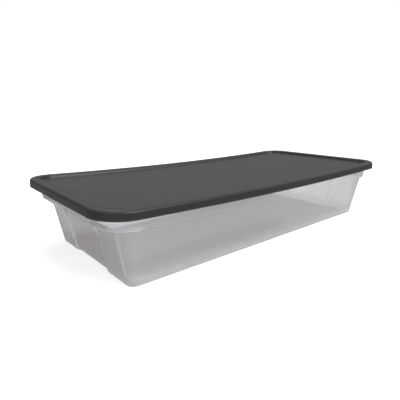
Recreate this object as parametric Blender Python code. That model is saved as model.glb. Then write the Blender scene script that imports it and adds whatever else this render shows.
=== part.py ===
"""Under-bed storage box: a clear moulded tub closed by a shallow press-on lid.

Frame: metres, +Z up, X along the length and Y across. The origin is at the middle of the
underside. Both pieces are thin mouldings. Each one is drawn as a skin of closed rings, from the
middle of its flat panel outwards, and the Solidify modifier gives the skin its wall. A ring's
size is its half length, half width and corner radius.
"""
import math

import bmesh
import bpy

INCH = 0.0254
LENGTH = 34.375 * INCH          # over the lid, along X
WIDTH = 15.5 * INCH             # over the lid, along Y
HEIGHT = 6.0 * INCH             # table to the lid's rim, at the two ends
CORNER_RADIUS = 0.0565          # of the lid's outline
SAG = 0.0078                    # how far the rim and lid dip at mid-length
LID_OUTLINE = (LENGTH / 2, WIDTH / 2, CORNER_RADIUS)

# Lid
LID_WALL = 0.0018
SKIRT_DEPTH = 0.0169
SKIRT_DRAFT = 0.0006
RIM_ROUND = 0.0060              # radius of the rim's outer edge
RIM_INNER = 0.0195              # inset where the rim's flat top ends
PANEL_EDGE = 0.0255             # inset where the flat panel begins
PANEL_INSET = 0.0500            # inset of the panel's innermost ring
PANEL_DROP = 0.0083             # the panel lies this far below the rim
STEP_MARGIN = 0.0015            # flat strip at the top and bottom of the step between them
STEP_SHARES = (0.12, 0.5, 0.88) # how far up the step its rings lie

# Tub: foot, wall and raised floor
TUB_WALL = 0.0016
FOOT = (0.3695, 0.1500, 0.0110)         # where the foot meets the table
FOOT_FILLET = 0.0070
FOOT_WIDTH = 0.0120
FLOOR_STEP = 0.0040                     # width of the slope between foot and floor
FLOOR_RISE = 0.0020                     # the floor stands this far above the table
FLOOR_RADIUS = 0.0120                   # of the floor's corners
FLOOR_MARGIN = 0.0200                   # width of the floor's outermost band
WALL_TOP = (0.3968, 0.1762, 0.0400)
WALL_TOP_HEIGHT = 0.1080

# Tub: the ledge where the wall steps out, the shoulder above it, and the rim
LEDGE = (0.4162, 0.1780, 0.0470)
LEDGE_HEIGHT = 0.1115
SHOULDER = (0.4185, 0.1803, 0.0493)
SHOULDER_HEIGHT = 0.1345
RIM_ROOT = (0.4230, 0.1838, 0.0500)     # where the shoulder, flaring, reaches the rim's under side
RIM_FILLET = 0.0024             # under the rim, where it meets the shoulder
FIT_GAP = 0.0006                # between the lid's inside and the tub's rim
RIM_LIP_BOTTOM = 0.1385         # the rim's turned-down lip ends here, inside the lid's skirt

# Tub: the hollow in the middle of each end wall
HOLLOW_HALF_WIDTH = 0.0730
HOLLOW_RAMP = 0.0070            # width of the slope at each side of the hollow
HOLLOW_DEPTH = 0.0036           # at the foot; it fades out towards the ledge
HOLLOW_FOOT_RISE = 0.0012       # the hollow's lower edge clears the table by this much
HOLLOW_WALL_DROP = 0.0130       # across the hollow, the wall starts to lean out this much lower
HOLLOW_LEDGE_LIFT = 0.0140      # and reaches the shoulder this much higher
HOLLOW_LEDGE_DEPTH = 0.0035     # how far the shoulder stands back across the hollow, at its foot
HOLLOW_SHOULDER_DEPTH = 0.0008  # and at its top
HOLLOW_SHOULDER_LIFT = 0.0020

# How finely the skins are divided
SIDE_STEPS = 12
CORNER_STEPS = 7
FILLET_STEPS = 4
WALL_SHARES = (0.25, 0.5, 0.75, 0.9, 1.0)
LEDGE_PROFILE = ((0.45, 0.12), (0.9, 0.55), (1.0, 1.0))     # shares of the way out and up
SHARP_ANGLE = 35.0              # degrees; a sharper fold than this is shaded as an edge


def dip(x, z):
    """How far a point at height z hangs below its moulded place, as the long sides sag."""
    along = min(1.0, abs(x) / (LENGTH / 2 - RIM_INNER / 2))
    return SAG * (1.0 - along ** 2) * z / HEIGHT


def smooth_step(value):
    value = max(0.0, min(1.0, value))
    return value * value * (3.0 - 2.0 * value)


def blend(first, second, share):
    return tuple(a + (b - a) * share for a, b in zip(first, second))


def grow(size, amount):
    """A ring size offset outwards by an amount all round."""
    return tuple(value + amount for value in size)


def end_positions(straight_half):
    """Distances from the middle of an end: across the hollow, up its side, to the corner."""
    flat_half = HOLLOW_HALF_WIDTH - HOLLOW_RAMP
    positions = [0.0, flat_half / 2]
    positions += [flat_half + HOLLOW_RAMP * share for share in (0.0, 0.33, 0.67, 1.0)]
    positions.append((HOLLOW_HALF_WIDTH + straight_half) / 2)
    return positions


def quarter_outline(size):
    """Points from the middle of the +X end, round the corner, to the middle of the +Y side."""
    half_length, half_width, radius = size
    centre_x = half_length - radius
    centre_y = half_width - radius
    points = [(half_length, y) for y in end_positions(centre_y)]
    for step in range(CORNER_STEPS + 1):
        angle = math.pi / 2 * step / CORNER_STEPS
        points.append((centre_x + radius * math.cos(angle), centre_y + radius * math.sin(angle)))
    half_side = SIDE_STEPS // 2
    for step in range(1, half_side + 1):
        points.append((centre_x * (1.0 - step / half_side), half_width))
    return points


def outline(size):
    """One closed ring, anticlockwise from the middle of the +X end."""
    quarter = quarter_outline(size)
    half = quarter + [(-x, y) for x, y in reversed(quarter[:-1])]
    return half + [(x, -y) for x, y in reversed(half[1:-1])]


def add_ring(mesh, points):
    """Adds a closed ring to the mesh, sagged, and returns its vertices and edges."""
    verts = [mesh.verts.new((x, y, z - dip(x, z))) for x, y, z in points]
    edges = [mesh.edges.new(pair) for pair in zip(verts, verts[1:] + verts[:1])]
    return verts, edges


def close_middle(mesh, verts):
    """Spans the innermost ring from side to side, with one face at each end, and returns one."""
    count = len(verts)
    end_steps = len(end_positions(0.0)) + 1       # just past the start of the corner's arc
    last = count // 2 - end_steps
    for n in range(end_steps, last):
        mesh.faces.new((verts[n], verts[n + 1], verts[count - n - 1], verts[count - n]))
    mesh.faces.new([verts[n] for n in range(-end_steps, end_steps + 1)])
    return mesh.faces.new([verts[n] for n in range(last, count - last + 1)])


def moulding(name, rings, wall, material, outside_faces_up):
    """Bridges the rings into one sheet, thickens it inwards and returns the object."""
    mesh = bmesh.new()
    loops = [add_ring(mesh, ring) for ring in rings]
    for (_, inner), (_, outer) in zip(loops, loops[1:]):
        bmesh.ops.bridge_loops(mesh, edges=inner + outer)
    middle = close_middle(mesh, loops[0][0])
    bmesh.ops.recalc_face_normals(mesh, faces=mesh.faces)
    middle.normal_update()
    if (middle.normal.z > 0.0) != outside_faces_up:
        bmesh.ops.reverse_faces(mesh, faces=mesh.faces)
    data = bpy.data.meshes.new(name)
    mesh.to_mesh(data)
    mesh.free()
    data.materials.append(material)
    data.shade_smooth()
    data.set_sharp_from_angle(angle=math.radians(SHARP_ANGLE))
    piece = bpy.data.objects.new(name, data)
    bpy.context.scene.collection.objects.link(piece)
    solid = piece.modifiers.new("wall", "SOLIDIFY")
    solid.thickness = wall
    solid.offset = -1.0
    solid.use_even_offset = True
    solid.use_quality_normals = True
    return piece


def lid_ring(inset, drop):
    """A ring of the lid, inset from its outline and dropped below the rim's top."""
    return [(x, y, HEIGHT - drop) for x, y in outline(grow(LID_OUTLINE, -inset))]


def lid_rings():
    """The lid's upper and outer face: panel, step up to the rim, rounded edge and skirt."""
    rings = [lid_ring(PANEL_INSET, PANEL_DROP), lid_ring(PANEL_EDGE + STEP_MARGIN, PANEL_DROP)]
    for share in STEP_SHARES:
        inset = PANEL_EDGE + (RIM_INNER - PANEL_EDGE) * smooth_step(share)
        rings.append(lid_ring(inset, PANEL_DROP * (1.0 - share)))
    rings.append(lid_ring(RIM_INNER - STEP_MARGIN, 0.0))
    for step in range(FILLET_STEPS + 1):
        angle = math.pi / 2 * step / FILLET_STEPS
        inset = SKIRT_DRAFT + RIM_ROUND * (1.0 - math.sin(angle))
        rings.append(lid_ring(inset, RIM_ROUND * (1.0 - math.cos(angle))))
    rings.append(lid_ring(0.0, SKIRT_DEPTH))
    return rings


def hollow_share(y):
    """1 in the middle of an end's hollow, 0 on the corner columns beside it."""
    return smooth_step((HOLLOW_HALF_WIDTH - abs(y)) / HOLLOW_RAMP)


def tub_ring(size, z, depth=0.0, lift=0.0):
    """A ring of the tub's outside. Its ends are pushed in and lifted across the hollow."""
    points = []
    for x, y in outline(size):
        on_end = abs(x) > size[0] - 0.0001
        share = hollow_share(y) if on_end else 0.0
        points.append((x - math.copysign(depth * share, x), y, z + lift * share))
    return points


def foot_rings():
    """The raised floor, the foot that meets the table, and the fillet below the wall."""
    foot_inside = (FOOT[0] - FOOT_WIDTH, FOOT[1] - FOOT_WIDTH, FLOOR_RADIUS)
    floor = (foot_inside[0] - FLOOR_STEP, foot_inside[1] - FLOOR_STEP, FLOOR_RADIUS)
    floor_middle = (floor[0] - FLOOR_MARGIN, floor[1] - FLOOR_MARGIN, FLOOR_RADIUS)
    rings = [tub_ring(floor_middle, FLOOR_RISE), tub_ring(floor, FLOOR_RISE)]
    rings.append(tub_ring(foot_inside, 0.0))
    for step in range(FILLET_STEPS + 1):
        angle = (math.pi / 2 - wall_draft()) * step / FILLET_STEPS
        size = grow(FOOT, FOOT_FILLET * math.sin(angle))
        z = FOOT_FILLET * (1.0 - math.cos(angle))
        rings.append(tub_ring(size, z, HOLLOW_DEPTH, HOLLOW_FOOT_RISE if step else 0.0))
    return rings


def wall_draft():
    return math.atan2(WALL_TOP[0] - FOOT[0] - FOOT_FILLET, WALL_TOP_HEIGHT)


def wall_rings():
    """The drafted wall. The hollow in each end grows shallower towards the ledge."""
    start = grow(FOOT, FOOT_FILLET * math.cos(wall_draft()))
    start_height = FOOT_FILLET * (1.0 - math.sin(wall_draft()))
    rings = []
    for share in WALL_SHARES:
        z = start_height + (WALL_TOP_HEIGHT - start_height) * share
        depth = HOLLOW_DEPTH * (1.0 - share)
        lift = -HOLLOW_WALL_DROP * share ** 3
        rings.append(tub_ring(blend(start, WALL_TOP, share), z, depth, lift))
    return rings


def ledge_rings():
    """The step outwards, which is a ledge on the columns and a slope across the hollow."""
    rings = []
    for share, rise in LEDGE_PROFILE:
        size = blend(WALL_TOP, LEDGE, share)
        z = WALL_TOP_HEIGHT + (LEDGE_HEIGHT - WALL_TOP_HEIGHT) * rise
        lift = -HOLLOW_WALL_DROP + (HOLLOW_WALL_DROP + HOLLOW_LEDGE_LIFT) * share
        rings.append(tub_ring(size, z, HOLLOW_LEDGE_DEPTH * share * share, lift))
    rings.append(tub_ring(SHOULDER, SHOULDER_HEIGHT, HOLLOW_SHOULDER_DEPTH, HOLLOW_SHOULDER_LIFT))
    return rings


def rim_rings():
    """The rim's under side: out under the lid's edge, then down inside the lid's skirt."""
    under = HEIGHT - LID_WALL - FIT_GAP - TUB_WALL
    round_radius = RIM_ROUND - LID_WALL - FIT_GAP - TUB_WALL
    centre = grow(LID_OUTLINE, -SKIRT_DRAFT - RIM_ROUND)
    rings = [tub_ring(RIM_ROOT, under - RIM_FILLET)]
    for step in (1, 2):
        angle = math.pi / 4 * step
        size = grow(RIM_ROOT, RIM_FILLET * (1.0 - math.cos(angle)))
        rings.append(tub_ring(size, under - RIM_FILLET * (1.0 - math.sin(angle))))
    for step in range(FILLET_STEPS + 1):
        angle = math.pi / 2 * step / FILLET_STEPS
        size = grow(centre, round_radius * math.sin(angle))
        rings.append(tub_ring(size, under - round_radius * (1.0 - math.cos(angle))))
    rings.append(tub_ring(grow(centre, round_radius), RIM_LIP_BOTTOM))
    return rings


def plastic(name, colour, roughness, transmission):
    """A moulded plastic."""
    material = bpy.data.materials.new(name)
    material.use_nodes = True
    shader = material.node_tree.nodes["Principled BSDF"]
    shader.inputs["Base Color"].default_value = colour
    shader.inputs["Roughness"].default_value = roughness
    shader.inputs["Metallic"].default_value = 0.0
    shader.inputs["IOR"].default_value = 1.49
    shader.inputs["Transmission Weight"].default_value = transmission
    return material


def make_tub():
    clear = plastic("clear_plastic", (0.80, 0.81, 0.81, 1.0), 0.18, 0.85)
    rings = foot_rings() + wall_rings() + ledge_rings() + rim_rings()
    return moulding("tub", rings, TUB_WALL, clear, False)


def make_lid():
    grey = plastic("grey_plastic", (0.085, 0.084, 0.081, 1.0), 0.42, 0.0)
    return moulding("lid", lid_rings(), LID_WALL, grey, True)


def main():
    for item in list(bpy.data.objects):
        bpy.data.objects.remove(item, do_unlink=True)
    make_tub()
    make_lid()


main()
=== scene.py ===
"""Under-bed storage box: clear polypropylene tub and dark grey press-on lid, in a plain light studio.

Metres, +Z up, X along the length and Y across, origin at the middle of the underside. The tub and
the lid are drawn as skins of closed rings on the frame's own measurements, with finer rings, softer
corners and the lid's small moulded details. A ring's size is its half length, half width and
corner radius.
"""
import math

import bpy
import numpy as np
from mathutils import Matrix, Vector


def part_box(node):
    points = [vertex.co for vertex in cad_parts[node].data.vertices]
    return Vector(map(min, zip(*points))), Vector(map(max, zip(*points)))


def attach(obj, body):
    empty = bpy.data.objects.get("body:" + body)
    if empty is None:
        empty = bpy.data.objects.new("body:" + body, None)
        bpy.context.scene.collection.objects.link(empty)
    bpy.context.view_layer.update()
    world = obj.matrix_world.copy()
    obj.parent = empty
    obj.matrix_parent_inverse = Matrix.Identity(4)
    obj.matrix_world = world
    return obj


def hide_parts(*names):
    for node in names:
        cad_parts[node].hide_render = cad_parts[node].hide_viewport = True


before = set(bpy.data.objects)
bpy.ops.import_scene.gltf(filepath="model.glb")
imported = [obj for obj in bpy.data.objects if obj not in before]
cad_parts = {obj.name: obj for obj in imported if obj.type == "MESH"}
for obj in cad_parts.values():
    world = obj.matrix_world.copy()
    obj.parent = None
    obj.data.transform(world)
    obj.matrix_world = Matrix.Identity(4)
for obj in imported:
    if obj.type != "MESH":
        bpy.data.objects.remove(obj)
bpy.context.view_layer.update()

# ---------------------------------------------------------------- measurements of the frame
LID_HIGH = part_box("lid")[1]
HALF_LENGTH = LID_HIGH.x
HALF_WIDTH = LID_HIGH.y
HEIGHT = LID_HIGH.z
CORNER_RADIUS = 0.0565
LID_OUTLINE = (HALF_LENGTH, HALF_WIDTH, CORNER_RADIUS)
SAG = 0.0078                    # how far the rim and lid dip at mid-length

LID_WALL = 0.0018
SKIRT_DEPTH = 0.0169
SKIRT_DRAFT = 0.0006
RIM_ROUND = 0.0060              # radius of the rim's outer edge
RIM_INNER = 0.0195              # inset where the rim's flat top ends
PANEL_EDGE = 0.0255             # inset where the flat panel begins
PANEL_INSET = 0.0500            # inset of the panel's innermost ring
PANEL_DROP = 0.0083
EDGE_ROUND = 0.0015             # room for the rounding at the panel's edge and the rim's

TUB_WALL = 0.0016
FOOT = (0.3695, 0.1500, 0.0110)
FOOT_FILLET = 0.0070
FOOT_WIDTH = 0.0120
FLOOR_STEP = 0.0040
FLOOR_RISE = 0.0020
FLOOR_CORNER = 0.0120           # corner radius of the floor and of the foot ring's inside
FLOOR_MARGIN = 0.0120           # from the floor's edge to its innermost ring
FOOT_ROUND = 0.0015             # rounding of the step inside the foot ring
WALL_TOP = (0.3968, 0.1762, 0.0400)
WALL_TOP_HEIGHT = 0.1080
LEDGE = (0.4162, 0.1780, 0.0470)
LEDGE_HEIGHT = 0.1115
SHOULDER = (0.4185, 0.1803, 0.0493)
SHOULDER_HEIGHT = 0.1345
RIM_ROOT = (0.4230, 0.1838, 0.0500)
RIM_FILLET = 0.0024
FIT_GAP = 0.0006
RIM_LIP_BOTTOM = 0.1385

HOLLOW_HALF_WIDTH = 0.0730
HOLLOW_RAMP = 0.0070
HOLLOW_DEPTH = 0.0036
HOLLOW_FOOT_RISE = 0.0012
HOLLOW_WALL_DROP = 0.0130
HOLLOW_LEDGE_LIFT = 0.0140
HOLLOW_LEDGE_DEPTH = 0.0035
HOLLOW_MIDDLE = (0.0020, 0.0080)    # its depth and lift halfway from ledge to shoulder,
HOLLOW_SHOULDER = (0.0008, 0.0020)  # and at the shoulder
HOLLOW_FOOT_RATE = 2.5          # how much faster its foot rises than the fillet turns
LEDGE_ROUND = 0.0012

# ---------------------------------------------------------------- how finely the skins are divided
CORNER_STEPS = 16               # even, so that each corner has a middle point
FILLET_STEPS = 8
RAMP_STEPS = 6
ROUND_STEPS = 3
LEDGE_STEPS = 10
RIM_FILLET_STEPS = 4
PANEL_STEPS = 14
RIM_STEP_STEPS = 12
SKIRT_STEPS = 4
WALL_SHARES = [n / 14 for n in range(1, 14)] + [0.955, 0.985]   # of the way up to the ledge
END_MARGIN = 0.0001             # how near its end a point of a ring counts as on it
LARGEST_REACH = 0.49            # share of a side that one rounding may take
SHORTEST_SIDE = 1e-9
TUB_END = (5, (0.02, 0.05, 0.09, 0.4, 0.7))     # steps across half of an end's hollow, then
LID_END = (33, [n / 25 for n in range(1, 25)])  # shares of the way from its side to the corner


def smooth_step(value):
    """0 up to 0, 1 from 1, and a smooth rise between."""
    value = max(0.0, min(1.0, value))
    return value * value * (3.0 - 2.0 * value)


def bump_profile(distance, width):
    """A smooth ridge, 1 on its line and 0 beyond its width."""
    return smooth_step(1.0 - abs(distance) / width)


def blend(first, second, share):
    """A ring size a share of the way from the first to the second."""
    return tuple(a + (b - a) * share for a, b in zip(first, second))


def grow(size, amount):
    """A ring size offset outwards by an amount all round."""
    return tuple(value + amount for value in size)


def dip(x, z):
    """How far a point at height z hangs below its moulded place, as the long sides sag."""
    along = min(1.0, abs(x) / (HALF_LENGTH - RIM_INNER / 2))
    return SAG * (1.0 - along ** 2) * z / HEIGHT


# ---------------------------------------------------------------- rings
def end_positions(straight_half, end):
    """Distances from the middle of an end: across the hollow, up its side, to the corner."""
    flat_steps, rest_shares = end
    flat_half = HOLLOW_HALF_WIDTH - HOLLOW_RAMP
    flat = [flat_half * n / flat_steps for n in range(flat_steps)]
    ramp = [flat_half + HOLLOW_RAMP * n / RAMP_STEPS for n in range(RAMP_STEPS + 1)]
    rest = [HOLLOW_HALF_WIDTH + (straight_half - HOLLOW_HALF_WIDTH) * share
            for share in rest_shares]
    return flat + ramp + rest


# Shares of the way from a corner to mid-length. The lid's lie close together near its crease.
TUB_SIDE_SHARES = [n / 16 for n in range(1, 17)]
CREASE_START = 0.86
WIDE_STEPS, CLOSE_STEPS = 36, 30
LID_SIDE_SHARES = ([n / WIDE_STEPS * CREASE_START for n in range(1, WIDE_STEPS + 1)]
                   + [CREASE_START + (1.0 - CREASE_START) * n / CLOSE_STEPS
                      for n in range(1, CLOSE_STEPS + 1)])


def outline(size, end, side_shares):
    """One closed ring, anticlockwise from the middle of the +X end."""
    half_length, half_width, radius = size
    centre_x = half_length - radius
    centre_y = half_width - radius
    quarter = [(half_length, y) for y in end_positions(centre_y, end)]
    for step in range(CORNER_STEPS + 1):
        angle = math.pi / 2 * step / CORNER_STEPS
        quarter.append((centre_x + radius * math.cos(angle), centre_y + radius * math.sin(angle)))
    quarter += [(centre_x * (1.0 - share), half_width) for share in side_shares]
    half = quarter + [(-x, y) for x, y in reversed(quarter[:-1])]
    return half + [(x, -y) for x, y in reversed(half[1:-1])]


def round_corner(rings, index, reach_in, reach_out, steps=5):
    """Replaces the sharp ring at an index by a curve that starts and ends a reach away from it."""
    corner = np.array(rings[index])
    before, after = np.array(rings[index - 1]), np.array(rings[index + 1])

    def towards(other, reach):
        offset = other - corner
        length = np.linalg.norm(offset, axis=1, keepdims=True)
        return corner + offset * np.minimum(reach / np.maximum(length, SHORTEST_SIDE), LARGEST_REACH)

    start, end = towards(before, reach_in), towards(after, reach_out)
    curve = []
    for step in range(steps + 1):
        t = step / steps
        curve.append((1 - t) ** 2 * start + 2 * t * (1 - t) * corner + t * t * end)
    return rings[:index] + curve + rings[index + 1:]


# ---------------------------------------------------------------- skins
def fill_middle(ring_points, end):
    """A grid that spans the innermost ring, from corner middle to corner middle."""
    count = len(ring_points)
    quarter = count // 4
    corner = len(end_positions(0.0, end)) + CORNER_STEPS // 2
    across = 2 * corner
    along = count // 2 - across
    ring = np.array(ring_points)

    def at(n):
        return ring[n % count]

    east = [at(n) for n in range(-corner, corner + 1)]
    north = [at(corner + n) for n in range(along + 1)]
    west = [at(2 * quarter + corner - n) for n in range(across + 1)]
    south = [at(-corner - n) for n in range(along + 1)]
    grid = np.zeros((along + 1, across + 1, 3))
    for i in range(along + 1):
        u = i / along
        for j in range(across + 1):
            v = j / across
            sides = (1 - v) * south[i] + v * north[i] + (1 - u) * east[j] + u * west[j]
            corners = ((1 - u) * (1 - v) * east[0] + (1 - u) * v * east[-1]
                       + u * (1 - v) * west[0] + u * v * west[-1])
            grid[i, j] = sides - corners
    return grid, corner, along, across, quarter


def moulding(name, rings, end, wall, outside_faces_up, finish, relief=None):
    """Joins the rings into one skin, thickens it inwards and returns the object."""
    rings = [np.array(ring, float) for ring in rings]
    count = len(rings[0])
    grid, corner, along, across, quarter = fill_middle(rings[0], end)
    verts = [tuple(point) for ring in rings for point in ring]
    index = {}
    for i in range(along + 1):
        for j in range(across + 1):
            if i == 0:
                index[i, j] = (j - corner) % count
            elif i == along:
                index[i, j] = (2 * quarter + corner - j) % count
            elif j == 0:
                index[i, j] = (-corner - i) % count
            elif j == across:
                index[i, j] = (corner + i) % count
            else:
                index[i, j] = len(verts)
                verts.append(tuple(grid[i, j]))
    faces = []
    for i in range(along):
        for j in range(across):
            faces.append((index[i, j], index[i, j + 1], index[i + 1, j + 1], index[i + 1, j]))
    for r in range(len(rings) - 1):
        first, second = r * count, (r + 1) * count
        for n in range(count):
            m = (n + 1) % count
            faces.append((first + n, second + n, second + m, first + m))
    if not outside_faces_up:
        faces = [face[::-1] for face in faces]
    placed = []
    for x, y, z in verts:
        lift = relief(x, y) if relief else 0.0
        placed.append((x, y, z - dip(x, z) + lift))
    data = bpy.data.meshes.new(name)
    data.from_pydata(placed, [], faces)
    data.update()
    # finish: on the lid its textured top, with painted shade on the step, skirt and crease; on the
    # tub its haze, with painted highlights and painted light at the foot
    layer = data.attributes.new("finish", "FLOAT", "POINT")
    layer.data.foreach_set("value", [finish(x, y, z) for x, y, z in verts])
    data.shade_smooth()
    piece = bpy.data.objects.new(name, data)
    bpy.context.scene.collection.objects.link(piece)
    solid = piece.modifiers.new("wall", "SOLIDIFY")
    solid.thickness = wall
    solid.offset = -1.0
    solid.use_even_offset = True
    solid.use_quality_normals = True
    return piece


# ---------------------------------------------------------------- tub
def hollow_share(y):
    """1 in the middle of an end's hollow, 0 on the corner columns beside it."""
    return smooth_step((HOLLOW_HALF_WIDTH - abs(y)) / HOLLOW_RAMP)


def tub_ring(size, z, depth=0.0, lift=0.0):
    """A ring of the tub's outside. Its ends are pushed in and lifted across the hollow."""
    points = []
    for x, y in outline(size, TUB_END, TUB_SIDE_SHARES):
        on_end = abs(x) > size[0] - END_MARGIN
        share = hollow_share(y) if on_end else 0.0
        points.append((x - math.copysign(depth * share, x), y, z + lift * share))
    return points


def wall_draft():
    return math.atan2(WALL_TOP[0] - FOOT[0] - FOOT_FILLET, WALL_TOP_HEIGHT)


def foot_rings():
    inside = (FOOT[0] - FOOT_WIDTH, FOOT[1] - FOOT_WIDTH, FLOOR_CORNER)
    floor = (inside[0] - FLOOR_STEP, inside[1] - FLOOR_STEP, FLOOR_CORNER)
    middle = (floor[0] - FLOOR_MARGIN, floor[1] - FLOOR_MARGIN, FLOOR_CORNER)
    rings = [tub_ring(middle, FLOOR_RISE), tub_ring(floor, FLOOR_RISE), tub_ring(inside, 0.0)]
    for step in range(FILLET_STEPS + 1):
        angle = (math.pi / 2 - wall_draft()) * step / FILLET_STEPS
        size = grow(FOOT, FOOT_FILLET * math.sin(angle))
        z = FOOT_FILLET * (1.0 - math.cos(angle))
        rise = HOLLOW_FOOT_RISE * smooth_step(step / FILLET_STEPS * HOLLOW_FOOT_RATE)
        rings.append(tub_ring(size, z, HOLLOW_DEPTH, rise))
    rings = round_corner(rings, 2, FOOT_ROUND, FOOT_ROUND, ROUND_STEPS)
    return round_corner(rings, 1, FOOT_ROUND, FOOT_ROUND, ROUND_STEPS)


def wall_rings():
    start = grow(FOOT, FOOT_FILLET * math.cos(wall_draft()))
    start_height = FOOT_FILLET * (1.0 - math.sin(wall_draft()))
    rings = []
    for share in WALL_SHARES:
        z = start_height + (WALL_TOP_HEIGHT - start_height) * share
        depth = HOLLOW_DEPTH * (1.0 - share)
        lift = -HOLLOW_WALL_DROP * share ** 3
        rings.append(tub_ring(blend(start, WALL_TOP, share), z, depth, lift))
    return rings


def ledge_ring(angle):
    share, rise = math.sin(angle), 1.0 - math.cos(angle)
    size = blend(WALL_TOP, LEDGE, share)
    z = WALL_TOP_HEIGHT + (LEDGE_HEIGHT - WALL_TOP_HEIGHT) * rise
    lift = -HOLLOW_WALL_DROP + (HOLLOW_WALL_DROP + HOLLOW_LEDGE_LIFT) * share
    return tub_ring(size, z, HOLLOW_LEDGE_DEPTH * share * share, lift)


def ledge_rings():
    """The step outwards, which is a ledge on the columns and a slope across the hollow."""
    rings = [ledge_ring(math.pi / 2 * n / LEDGE_STEPS) for n in range(LEDGE_STEPS + 1)]
    rings.append(tub_ring(blend(LEDGE, SHOULDER, 0.5), (LEDGE_HEIGHT + SHOULDER_HEIGHT) / 2,
                          *HOLLOW_MIDDLE))
    rings.append(tub_ring(SHOULDER, SHOULDER_HEIGHT, *HOLLOW_SHOULDER))
    return rings


def rim_rings():
    """The rim's under side: out under the lid's edge, then down inside the lid's skirt."""
    under = HEIGHT - LID_WALL - FIT_GAP - TUB_WALL
    round_radius = RIM_ROUND - LID_WALL - FIT_GAP - TUB_WALL
    centre = grow(LID_OUTLINE, -SKIRT_DRAFT - RIM_ROUND)
    rings = [tub_ring(RIM_ROOT, under - RIM_FILLET)]
    for step in range(1, RIM_FILLET_STEPS + 1):
        angle = math.pi / 2 * step / RIM_FILLET_STEPS
        size = grow(RIM_ROOT, RIM_FILLET * (1.0 - math.cos(angle)))
        rings.append(tub_ring(size, under - RIM_FILLET * (1.0 - math.sin(angle))))
    for step in range(FILLET_STEPS + 1):
        angle = math.pi / 2 * step / FILLET_STEPS
        size = grow(centre, round_radius * math.sin(angle))
        rings.append(tub_ring(size, under - round_radius * (1.0 - math.cos(angle))))
    rings.append(tub_ring(grow(centre, round_radius), RIM_LIP_BOTTOM))
    return rings


COLUMN_LINE = 0.0035            # width of the painted highlight line down each side of the hollow
CORNER_LINE_ANGLE = 18.0        # degrees round the corner from the end wall
CORNER_LINE_WIDTH = 16.0
LEDGE_LINE = 0.0022
# strengths of the foot's haze and of the painted highlight lines
FOOT_HAZE_AND_PAINTED_LIGHT, CORNER_PAINTED_HIGHLIGHT, COLUMN_PAINTED_HIGHLIGHT = 0.65, 0.55, 0.7
FOOT_HAZE_TOP = 0.040
LINE_FADE_TOP = 0.004           # the lines fade out this far below the ledge,
LINE_FADE_FOOT = (0.004, 0.006) # and from this height above the table, over this length


def tub_haze_and_painted_highlights(x, y, z):
    """Extra milky haze near the foot, and painted highlight lines along the columns, corners and
    ledge.
    """
    share = min(1.0, max(0.0, z / WALL_TOP_HEIGHT))
    half_length, half_width, radius = blend(grow(FOOT, FOOT_FILLET), WALL_TOP, share)
    fade_start, fade_length = LINE_FADE_FOOT
    on_wall = (smooth_step((WALL_TOP_HEIGHT - z) / LINE_FADE_TOP)
               * smooth_step((z - fade_start) / fade_length))
    # paler towards the foot: partly thicker plastic at the fillet, partly painted light from the
    # table
    haze_and_highlights = FOOT_HAZE_AND_PAINTED_LIGHT * smooth_step((FOOT_HAZE_TOP - z) / FOOT_HAZE_TOP)
    out_x, out_y = abs(x) - half_length + radius, abs(y) - half_width + radius
    # painted highlights: a milky line round each corner at one angle, down each side of the hollow
    # and along the ledge on the columns
    if out_x > 0.0 and out_y > 0.0:
        angle = math.degrees(math.atan2(out_y, out_x))
        line = bump_profile(angle - CORNER_LINE_ANGLE, CORNER_LINE_WIDTH)
        haze_and_highlights = max(haze_and_highlights, CORNER_PAINTED_HIGHLIGHT * line * on_wall)
    if abs(x) > half_length - radius:
        line = bump_profile(abs(y) - HOLLOW_HALF_WIDTH, COLUMN_LINE)
        haze_and_highlights = max(haze_and_highlights, COLUMN_PAINTED_HIGHLIGHT * line * on_wall)
        on_column = smooth_step((abs(y) - HOLLOW_HALF_WIDTH + HOLLOW_RAMP) / HOLLOW_RAMP)
        haze_and_highlights = max(haze_and_highlights, on_column * bump_profile(z - LEDGE_HEIGHT, LEDGE_LINE))
    return haze_and_highlights


def make_tub():
    rings = foot_rings() + wall_rings()
    ledge_start = len(rings)
    rings += ledge_rings()
    rings = round_corner(rings, ledge_start, LEDGE_ROUND, LEDGE_ROUND, ROUND_STEPS)
    rings += rim_rings()
    return moulding("clear_tub", rings, TUB_END, TUB_WALL, False, tub_haze_and_painted_highlights)


# ---------------------------------------------------------------- lid
def lid_ring(inset, drop):
    ring = outline(grow(LID_OUTLINE, -inset), LID_END, LID_SIDE_SHARES)
    return [(x, y, HEIGHT - drop) for x, y in ring]


def lid_rings():
    """The lid's upper and outer face: panel, step up to the rim, rounded edge and skirt."""
    panel_width = PANEL_INSET - PANEL_EDGE - EDGE_ROUND
    insets = [PANEL_INSET - panel_width * n / PANEL_STEPS for n in range(PANEL_STEPS + 1)]
    rings = [lid_ring(inset, PANEL_DROP) for inset in insets]
    for n in range(1, RIM_STEP_STEPS):
        share = n / RIM_STEP_STEPS
        inset = PANEL_EDGE + (RIM_INNER - PANEL_EDGE) * share
        rings.append(lid_ring(inset, PANEL_DROP * (1.0 - smooth_step(share))))
    for inset in (RIM_INNER, RIM_INNER - EDGE_ROUND, (RIM_INNER + SKIRT_DRAFT + RIM_ROUND) / 2):
        rings.append(lid_ring(inset, 0.0))
    for step in range(FILLET_STEPS + 1):
        angle = math.pi / 2 * step / FILLET_STEPS
        inset = SKIRT_DRAFT + RIM_ROUND * (1.0 - math.sin(angle))
        rings.append(lid_ring(inset, RIM_ROUND * (1.0 - math.cos(angle))))
    for n in range(1, SKIRT_STEPS + 1):
        share = n / SKIRT_STEPS
        drop = RIM_ROUND + (SKIRT_DEPTH - RIM_ROUND) * share
        rings.append(lid_ring(SKIRT_DRAFT * (1.0 - share), drop))
    return rings


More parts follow.
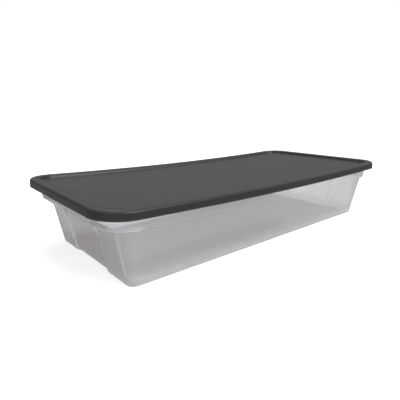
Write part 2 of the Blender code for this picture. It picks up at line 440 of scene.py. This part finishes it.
CREASE_MIDDLE = -0.012
CREASE_HALF_LENGTH = 0.122
CREASE_WIDTH = 0.0085
CREASE_DEPTH = 0.0018
CREASE_REACH = 0.06             # beyond this far from mid-length there is no crease
CREASE_LEAN = 0.10
CREASE_BEND = 0.6
CREASE_FADE = 0.03
MARK_CENTRE = (-0.3965, 0.026)
MARK_SIZE = (0.0085, 0.0270)
MARK_WIDTH = 0.0042
MARK_HEIGHT = 0.0013
GATE_CENTRE = (-0.398, -0.058)
GATE_WIDTH = 0.0050
GATE_DEPTH = 0.0010


def crease_share(x, y):
    """1 on the crease's line, which bends a little towards one end."""
    if abs(y) > CREASE_HALF_LENGTH or abs(x) > CREASE_REACH:
        return 0.0
    line = CREASE_MIDDLE - CREASE_LEAN * y + CREASE_BEND * y * y
    fade = smooth_step((CREASE_HALF_LENGTH - abs(y)) / CREASE_FADE)
    return fade * bump_profile(x - line, CREASE_WIDTH)


def mark_share(x, y):
    """1 on the outline of the plain oval mark."""
    dx, dy = (x - MARK_CENTRE[0]) / MARK_SIZE[0], (y - MARK_CENTRE[1]) / MARK_SIZE[1]
    return bump_profile((math.hypot(dx, dy) - 1.0) * MARK_SIZE[0], MARK_WIDTH)


def gate_share(x, y):
    """1 at the moulding gate's dot."""
    return bump_profile(math.hypot(x - GATE_CENTRE[0], y - GATE_CENTRE[1]), GATE_WIDTH)


def lid_relief(x, y):
    """The lid's crease across the middle, its plain oval mark and the moulding gate's dot."""
    return (MARK_HEIGHT * mark_share(x, y) - CREASE_DEPTH * crease_share(x, y)
            - GATE_DEPTH * gate_share(x, y))


def lid_finish_and_painted_shade(x, y, z):
    """1 on the textured top, 0 on the polished step and skirt, and 0 on the crease, mark and gate
    dot.
    """
    panel = smooth_step((HEIGHT - PANEL_DROP * 0.85 - z) / 0.001)
    inset = min(HALF_LENGTH - abs(x), HALF_WIDTH - abs(y))
    rim = smooth_step((z - HEIGHT + RIM_ROUND * 0.4) / 0.002) * smooth_step((inset - 0.003) / 0.004)
    # the rim's top is nearly as light as the panel; the skirt is darker, partly for its polish and
    # partly as painted shade
    if inset < RIM_INNER:
        return 0.7 * rim
    # painted shade: the crease takes the darker rim colour; the oval mark and the gate dot are darker
    # too
    return panel * (1.0 - max(crease_share(x, y), mark_share(x, y), gate_share(x, y)))


def make_lid():
    return moulding("grey_lid", lid_rings(), LID_END, LID_WALL, True, lid_finish_and_painted_shade, lid_relief)


# ---------------------------------------------------------------- materials
class Nodes:
    """A small helper that adds and joins the nodes of one tree."""

    def __init__(self, tree, output_kind="ShaderNodeOutputMaterial"):
        self.tree = tree
        self.tree.nodes.clear()
        self.output = self.tree.nodes.new(output_kind)

    def add(self, kind, **values):
        """A node of a kind. A value may be a number, a colour or another node's output."""
        node = self.tree.nodes.new("ShaderNode" + kind)
        for key, value in values.items():
            socket = int(key[1:]) if key[0] == "_" and key[1:].isdigit() else key.replace("_", " ")
            if isinstance(value, bpy.types.NodeSocket):
                self.tree.links.new(value, node.inputs[socket])
            else:
                node.inputs[socket].default_value = value
        return node

    def math(self, operation, first, second=0.0):
        node = self.add("Math", _0=first, _1=second)
        node.operation = operation
        return node.outputs[0]

    def spread(self, value, low, high, to_low, to_high):
        """Maps a value from one range to another, held inside it."""
        node = self.add("MapRange", Value=value, From_Min=low, From_Max=high,
                        To_Min=to_low, To_Max=to_high)
        return node.outputs[0]

    def noise(self, where, scale, detail=2.0, roughness=0.5):
        node = self.add("TexNoise", Vector=where, Scale=scale, Detail=detail, Roughness=roughness)
        return node.outputs[0]

    def mixed_colour(self, factor, first, second):
        node = self.tree.nodes.new("ShaderNodeMix")
        node.data_type = "RGBA"
        for socket, value in ((0, factor), (6, first), (7, second)):
            if isinstance(value, bpy.types.NodeSocket):
                self.tree.links.new(value, node.inputs[socket])
            else:
                node.inputs[socket].default_value = value
        return node.outputs[2]

    def stretched(self, scale):
        where = self.tree.nodes.new("ShaderNodeTexCoord").outputs["Object"]
        return self.add("Mapping", Vector=where, Scale=scale).outputs[0]

    def bump(self, height, strength, distance):
        return self.add("Bump", Height=height, Strength=strength, Distance=distance).outputs[0]

    def joined(self, factor, first, second):
        """A mix of two shaders."""
        mix = self.add("MixShader", Fac=factor)
        self.tree.links.new(first.outputs[0], mix.inputs[1])
        self.tree.links.new(second.outputs[0], mix.inputs[2])
        return mix

    def finish(self, shader):
        self.tree.links.new(shader.outputs[0], self.output.inputs["Surface"])


def new_material(name):
    """An empty node material and the helper that fills it."""
    material = bpy.data.materials.new(name)
    material.use_nodes = True
    return material, Nodes(material.node_tree)


def lid_material():
    """Dark grey polypropylene: a fine-grained panel inside a smoother, darker rim, whose darker
    colour is partly painted shade.
    """
    material, n = new_material("dark_grey_polypropylene")
    where = n.stretched((1.0, 1.0, 1.0))
    along = n.stretched((0.35, 1.0, 1.0))
    panel = n.tree.nodes.new("ShaderNodeAttribute")
    panel.attribute_name = "finish"
    panel = panel.outputs["Fac"]
    grain = n.noise(where, 900.0, 3.0, 0.6)
    mottle = n.noise(along, 26.0, 4.0, 0.6)
    cloud = n.noise(along, 5.0, 2.0, 0.5)
    edge = n.add("NewGeometry").outputs["Pointiness"]
    wear = n.spread(edge, 0.51, 0.56, 0.0, 1.0)
    rim_colour = n.mixed_colour(mottle, (0.021, 0.021, 0.0198, 1), (0.026, 0.0254, 0.0240, 1))
    panel_colour = n.mixed_colour(n.math("ADD", n.math("MULTIPLY", mottle, 0.5), 0.5),
                                  (0.035, 0.035, 0.0335, 1), (0.043, 0.0425, 0.0405, 1))
    # the step and skirt take the darker rim colour: partly their smoother finish, partly painted
    # shade on the sides
    colour = n.mixed_colour(panel, rim_colour, panel_colour)
    colour = n.mixed_colour(n.math("MULTIPLY", wear, 0.35), colour, (0.055, 0.054, 0.051, 1))
    rough = n.math("ADD", n.spread(cloud, 0.3, 0.7, -0.04, 0.04),
                   n.spread(panel, 0.0, 1.0, 0.30, 0.50))
    height = n.math("MULTIPLY", grain, n.spread(panel, 0.0, 1.0, 0.15, 1.0))
    shader = n.add("BsdfPrincipled", Base_Color=colour, Roughness=rough, IOR=1.49,
                   Specular_IOR_Level=0.35, Normal=n.bump(height, 0.35, 0.0003))
    n.finish(shader)
    return material


def tub_material():
    """Thin clear polypropylene: see-through, with a faint milky haze and a glossy surface."""
    material, n = new_material("clear_polypropylene")
    where = n.stretched((1.0, 1.0, 1.0))
    flow = n.stretched((0.5, 0.5, 1.6))
    cloud = n.noise(flow, 6.0, 3.0, 0.55)
    streak = n.noise(n.stretched((0.6, 0.6, 9.0)), 14.0, 3.0, 0.6)
    drawn = n.noise(n.stretched((1.0, 1.0, 0.05)), 70.0, 3.0, 0.6)
    ripple = n.noise(where, 38.0, 2.0, 0.5)
    grain = n.noise(where, 520.0, 2.0, 0.5)
    facing = n.add("LayerWeight", Blend=0.5).outputs["Facing"]
    haze = n.math("ADD", n.spread(cloud, 0.3, 0.7, 0.125, 0.165),
                  n.spread(facing, 0.32, 0.82, 0.0, 0.17))
    haze = n.math("ADD", haze, n.spread(streak, 0.35, 0.65, -0.01, 0.01))
    haze = n.math("ADD", haze, n.spread(drawn, 0.35, 0.65, -0.012, 0.012))
    # the finish attribute adds the painted highlight lines and the paler foot to the haze
    painted_highlights_and_foot_haze = n.tree.nodes.new("ShaderNodeAttribute")
    painted_highlights_and_foot_haze.attribute_name = "finish"
    haze = n.math("ADD", haze, n.math("MULTIPLY", painted_highlights_and_foot_haze.outputs["Fac"], 0.34))
    normal = n.bump(n.math("ADD", ripple, n.math("MULTIPLY", grain, 0.05)), 0.10, 0.0006)
    tint = n.mixed_colour(n.spread(facing, 0.15, 0.75, 0.0, 1.0),
                          (0.938, 0.950, 0.968, 1), (0.78, 0.765, 0.755, 1))
    clear = n.add("BsdfTransparent", Color=tint)
    front = n.add("BsdfDiffuse", Color=(0.82, 0.82, 0.81, 1), Normal=normal)
    through = n.add("BsdfTranslucent", Color=(0.82, 0.82, 0.81, 1), Normal=normal)
    milk = n.joined(0.5, front, through)
    body = n.joined(haze, clear, milk)
    grazing = n.add("LayerWeight", Blend=0.5, Normal=normal).outputs["Facing"]
    mirrored = n.spread(n.math("POWER", grazing, 4.0), 0.0, 1.0, 0.04, 1.0)
    gloss = n.add("BsdfGlossy", Color=(0.9, 0.9, 0.9, 1),
                  Roughness=n.spread(cloud, 0.3, 0.7, 0.05, 0.09), Normal=normal)
    n.finish(n.joined(mirrored, body, gloss))
    return material


# ---------------------------------------------------------------- studio
FLOOR_GAP = 0.0004              # between the tub's foot and the table
FLOOR_RADIUS = 9.0
FLOOR_SIDES = 64
TABLE_GLOW = (0.66, 0.66, 0.67, 1)
MIRRORED_TABLE = (0.12, 0.12, 0.12, 1)
MIRRORED_GLOW = 0.2             # share of the glow that the object's gloss shows
AIM_HEIGHT = 0.08


def direct_reflection(n):
    """1 where something is mirrored straight off the object, without a clear wall in between."""
    path = n.tree.nodes.new("ShaderNodeLightPath")
    unobstructed = n.math("LESS_THAN", path.outputs["Transparent Depth"], 0.5)
    return n.math("MULTIPLY", path.outputs["Is Glossy Ray"], unobstructed)


def floor_material():
    """A plain pale table that glows a little. It is dimmer where the object mirrors it."""
    material, n = new_material("studio_floor")
    where = n.stretched((1.0, 1.0, 1.0))
    mirrored = direct_reflection(n)
    shade = n.noise(where, 1.3, 2.0, 0.5)
    colour = n.mixed_colour(shade, (0.60, 0.60, 0.60, 1), (0.62, 0.62, 0.62, 1))
    colour = n.mixed_colour(mirrored, colour, MIRRORED_TABLE)
    strength = n.spread(mirrored, 0.0, 1.0, 1.0, MIRRORED_GLOW)
    glow = n.add("Emission", Color=TABLE_GLOW, Strength=strength)
    shader = n.tree.nodes.new("ShaderNodeAddShader")
    n.tree.links.new(n.add("BsdfDiffuse", Color=colour).outputs[0], shader.inputs[0])
    n.tree.links.new(glow.outputs[0], shader.inputs[1])
    n.finish(shader)
    return material


def make_floor():
    """A wide round floor, just under the tub's foot."""
    angles = [2 * math.pi * n / FLOOR_SIDES for n in range(FLOOR_SIDES)]
    ring = [(FLOOR_RADIUS * math.cos(a), FLOOR_RADIUS * math.sin(a), -FLOOR_GAP) for a in angles]
    data = bpy.data.meshes.new("studio_floor")
    data.from_pydata(ring, [], [tuple(range(FLOOR_SIDES))])
    data.materials.append(floor_material())
    floor = bpy.data.objects.new("studio_floor", data)
    bpy.context.scene.collection.objects.link(floor)


def add_light(name, kind, place, in_gloss=True):
    """A light at a place, aimed at the middle of the object, and seen in its gloss or not."""
    lamp = bpy.data.lights.new(name, kind)
    light = bpy.data.objects.new(name, lamp)
    bpy.context.scene.collection.objects.link(light)
    light.location = place
    away = Vector(place) - Vector((0, 0, AIM_HEIGHT))
    light.rotation_euler = away.to_track_quat("Z", "Y").to_euler()
    light.visible_glossy = in_gloss
    return lamp


def make_lights():
    """A very large, soft light from the front, a low one from the back right that gloss doesn't
    show, a soft panel overhead and a tall strip on the left."""
    key = add_light("soft_key", "SUN", (0.30, -0.95, 0.75))
    key.energy = 1.7
    key.angle = math.radians(45.0)
    back = add_light("low_back_light", "SUN", (0.307, 0.227, 0.22), in_gloss=False)
    back.energy = 0.8
    back.angle = math.radians(5.0)
    overhead = add_light("overhead", "AREA", (-0.1, 0.6, 2.2))
    overhead.shape = "RECTANGLE"
    overhead.size, overhead.size_y = 0.9, 0.7
    overhead.energy = 12.0
    strip = add_light("strip", "AREA", (-2.3, -1.25, 0.9))
    strip.shape = "RECTANGLE"
    strip.size, strip.size_y = 0.35, 1.6
    strip.energy = 3.0


def make_world():
    """White to the eye. Its light is brightest and coolest from the front right, and gloss shows it
    dim low down."""
    world = bpy.data.worlds.new("studio")
    bpy.context.scene.world = world
    world.use_nodes = True
    n = Nodes(world.node_tree, "ShaderNodeOutputWorld")
    place = n.tree.nodes.new("ShaderNodeTexCoord").outputs["Generated"]
    split = n.add("SeparateXYZ", Vector=place)
    front = n.math("ADD", n.math("MULTIPLY", split.outputs["Y"], -0.75),
                   n.math("MULTIPLY", split.outputs["X"], 0.65))
    light = n.mixed_colour(n.spread(front, -0.7, 0.9, 0.0, 1.0),
                           (0.42, 0.355, 0.30, 1), (0.90, 0.93, 1.00, 1))
    room = n.mixed_colour(n.spread(split.outputs["Z"], 0.15, 0.75, 0.0, 1.0),
                          (0.14, 0.14, 0.14, 1), (0.90, 0.90, 0.90, 1))
    seen = n.tree.nodes.new("ShaderNodeLightPath").outputs["Is Camera Ray"]
    colour = n.mixed_colour(direct_reflection(n), light, room)
    colour = n.mixed_colour(seen, colour, (1.0, 1.0, 1.0, 1))
    n.finish(n.add("Background", Color=colour))


def make_camera():
    """The view of the near left corner, from just above the lid."""
    azimuth, down, roll = math.radians(40.58), math.radians(14.26), math.radians(0.30)
    forward = Vector((math.sin(azimuth) * math.cos(down), math.cos(azimuth) * math.cos(down),
                      -math.sin(down)))
    right = Vector((math.cos(azimuth), -math.sin(azimuth), 0.0))
    up = right.cross(forward)
    turned_right = right * math.cos(roll) + up * math.sin(roll)
    turned_up = up * math.cos(roll) - right * math.sin(roll)
    lens = bpy.data.cameras.new("camera")
    lens.sensor_width = 36.0
    lens.lens = 32.04
    lens.clip_start = 0.01
    camera = bpy.data.objects.new("camera", lens)
    bpy.context.scene.collection.objects.link(camera)
    turn = Matrix((turned_right, turned_up, -forward)).transposed()
    camera.matrix_world = Matrix.Translation((-0.642, -0.645, 0.296)) @ turn.to_4x4()
    bpy.context.scene.camera = camera


def main():
    scene = bpy.context.scene
    scene.view_settings.view_transform = "Standard"
    tub, lid = make_tub(), make_lid()
    for piece, body, slot, material in ((tub, "tub", "clear_plastic", tub_material()),
                                        (lid, "lid", "grey_plastic", lid_material())):
        piece.data.materials.append(material)
        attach(piece, body)
        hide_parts(body)
    make_floor()
    make_world()
    make_lights()
    make_camera()


main()
